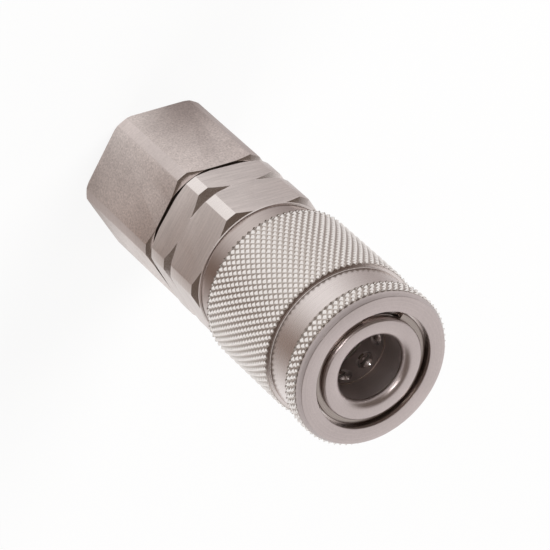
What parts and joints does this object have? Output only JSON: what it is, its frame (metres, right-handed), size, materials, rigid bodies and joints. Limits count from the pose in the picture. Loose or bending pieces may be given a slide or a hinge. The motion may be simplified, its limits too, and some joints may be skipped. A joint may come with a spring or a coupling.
{
  "type": "high pressure quick coupling socket",
  "caption": "Ball-lock quick coupling socket in satin steel: hexagon adaptor, grooved hexagon body, knurled sliding sleeve, locking balls in the bore and a sprung shut-off valve.",
  "frame": {"origin": "centre of the rear adaptor's end face, on the coupling's axis", "axes": "+Z along the axis towards the plug opening, +X through a corner of the body's hexagon"},
  "size_m": [0.034, 0.034, 0.0835],
  "materials": {
    "adaptor_steel": "satin, bead blasted flats",
    "body_steel": "satin, milled flats",
    "sleeve_steel": "turned and knurled",
    "ring_steel": "plain",
    "spring_steel": "drawn wire",
    "valve_steel": "turned",
    "guide_brass": "turned",
    "ball_steel": "polished",
    "seal_rubber": "matte",
    "backup_plastic": "matte"
  },
  "bodies": {
    "coupling": {"rear_adaptor": "adaptor_steel", "coupling_body": "body_steel", "stop_ring": "ring_steel", "valve_guide": "guide_brass", "sleeve_spring": "spring_steel", "valve_spring": "spring_steel", "plug_seal": "seal_rubber", "plug_backup_ring": "backup_plastic", "adaptor_seal": "seal_rubber", "adaptor_backup_ring": "backup_plastic"},
    "washer": {"spring_washer": "ring_steel"},
    "sleeve": {"sleeve": "sleeve_steel"},
    "poppet": {"valve_poppet": "valve_steel", "poppet_seal": "seal_rubber"},
    "ball_1": {"locking_ball_1": "ball_steel"},
    "ball_2": {"locking_ball_2": "ball_steel"},
    "ball_3": {"locking_ball_3": "ball_steel"},
    "ball_4": {"locking_ball_4": "ball_steel"},
    "ball_5": {"locking_ball_5": "ball_steel"},
    "ball_6": {"locking_ball_6": "ball_steel"},
    "ball_7": {"locking_ball_7": "ball_steel"},
    "ball_8": {"locking_ball_8": "ball_steel"}
  },
  "joints": [
    {"name": "sleeve_slide", "type": "slide", "parent": "coupling", "child": "washer", "axis": [0, 0, -1], "range_m": [0, 0.0045], "stiffness_N_per_m": 2500, "springref_m": -0.004, "deforming": ["sleeve_spring"]},
    {"name": "sleeve_turn", "type": "hinge", "parent": "washer", "child": "sleeve", "pos_m": [0, 0, 0.07], "axis": [0, 0, 1], "continuous": true},
    {"name": "poppet_slide", "type": "slide", "parent": "coupling", "child": "poppet", "axis": [0, 0, -1], "range_m": [0, 0.005], "stiffness_N_per_m": 1500, "springref_m": -0.003, "deforming": ["valve_spring"]},
    {"name": "ball_1_slide", "type": "slide", "parent": "coupling", "child": "ball_1", "axis": [0.9694, 0.2453, 0], "range_m": [0, 0.00081]},
    {"name": "ball_2_slide", "type": "slide", "parent": "coupling", "child": "ball_2", "axis": [0.512, 0.859, 0], "range_m": [0, 0.00081]},
    {"name": "ball_3_slide", "type": "slide", "parent": "coupling", "child": "ball_3", "axis": [-0.2453, 0.9694, 0], "range_m": [0, 0.00081]},
    {"name": "ball_4_slide", "type": "slide", "parent": "coupling", "child": "ball_4", "axis": [-0.859, 0.512, 0], "range_m": [0, 0.00081]},
    {"name": "ball_5_slide", "type": "slide", "parent": "coupling", "child": "ball_5", "axis": [-0.9694, -0.2453, 0], "range_m": [0, 0.00081]},
    {"name": "ball_6_slide", "type": "slide", "parent": "coupling", "child": "ball_6", "axis": [-0.512, -0.859, 0], "range_m": [0, 0.00081]},
    {"name": "ball_7_slide", "type": "slide", "parent": "coupling", "child": "ball_7", "axis": [0.2453, -0.9694, 0], "range_m": [0, 0.00081]},
    {"name": "ball_8_slide", "type": "slide", "parent": "coupling", "child": "ball_8", "axis": [0.859, -0.512, 0], "range_m": [0, 0.00081]}
  ],
  "couplings": [
    {"joint": "ball_1_slide", "follows": "sleeve_slide", "ratio": 0.17778},
    {"joint": "ball_2_slide", "follows": "sleeve_slide", "ratio": 0.17778},
    {"joint": "ball_3_slide", "follows": "sleeve_slide", "ratio": 0.17778},
    {"joint": "ball_4_slide", "follows": "sleeve_slide", "ratio": 0.17778},
    {"joint": "ball_5_slide", "follows": "sleeve_slide", "ratio": 0.17778},
    {"joint": "ball_6_slide", "follows": "sleeve_slide", "ratio": 0.17778},
    {"joint": "ball_7_slide", "follows": "sleeve_slide", "ratio": 0.17778},
    {"joint": "ball_8_slide", "follows": "sleeve_slide", "ratio": 0.17778}
  ]
}
